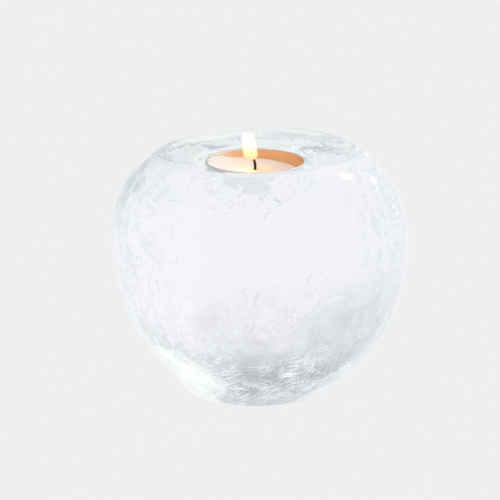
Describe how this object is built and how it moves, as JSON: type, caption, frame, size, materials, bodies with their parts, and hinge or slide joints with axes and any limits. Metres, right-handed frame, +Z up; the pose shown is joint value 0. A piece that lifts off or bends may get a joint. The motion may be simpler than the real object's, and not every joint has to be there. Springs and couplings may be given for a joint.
{
  "type": "tealight holder",
  "caption": "Heavy clear glass ball with a dished top and a seat that holds a standard tealight in its metal cup.",
  "frame": {"origin": "centre of the flat base that the glass ball stands on", "axes": "+Z up along the ball's and the tealight's common axis; the burnt wick curls over towards -X"},
  "size_m": [0.115, 0.115, 0.0955],
  "materials": {
    "glass": "clear cast glass, crackled and uneven like ice",
    "cup": "bright drawn foil",
    "wax": "white paraffin wax, molten and glossy on top",
    "sustainer": "thin tinned steel",
    "wick": "braided cotton, charred at the top",
    "flame": "glowing flame, in the visual model only"
  },
  "bodies": {
    "holder": {"glass_body": "glass"},
    "tealight": {"candle_cup": "cup", "wax": "wax", "wick_sustainer": "sustainer", "wick": "wick"}
  },
  "joints": [
    {"name": "tealight_lift", "type": "slide", "parent": "holder", "child": "tealight", "axis": [0, 0, 1], "range_m": [0, 0.04]}
  ]
}
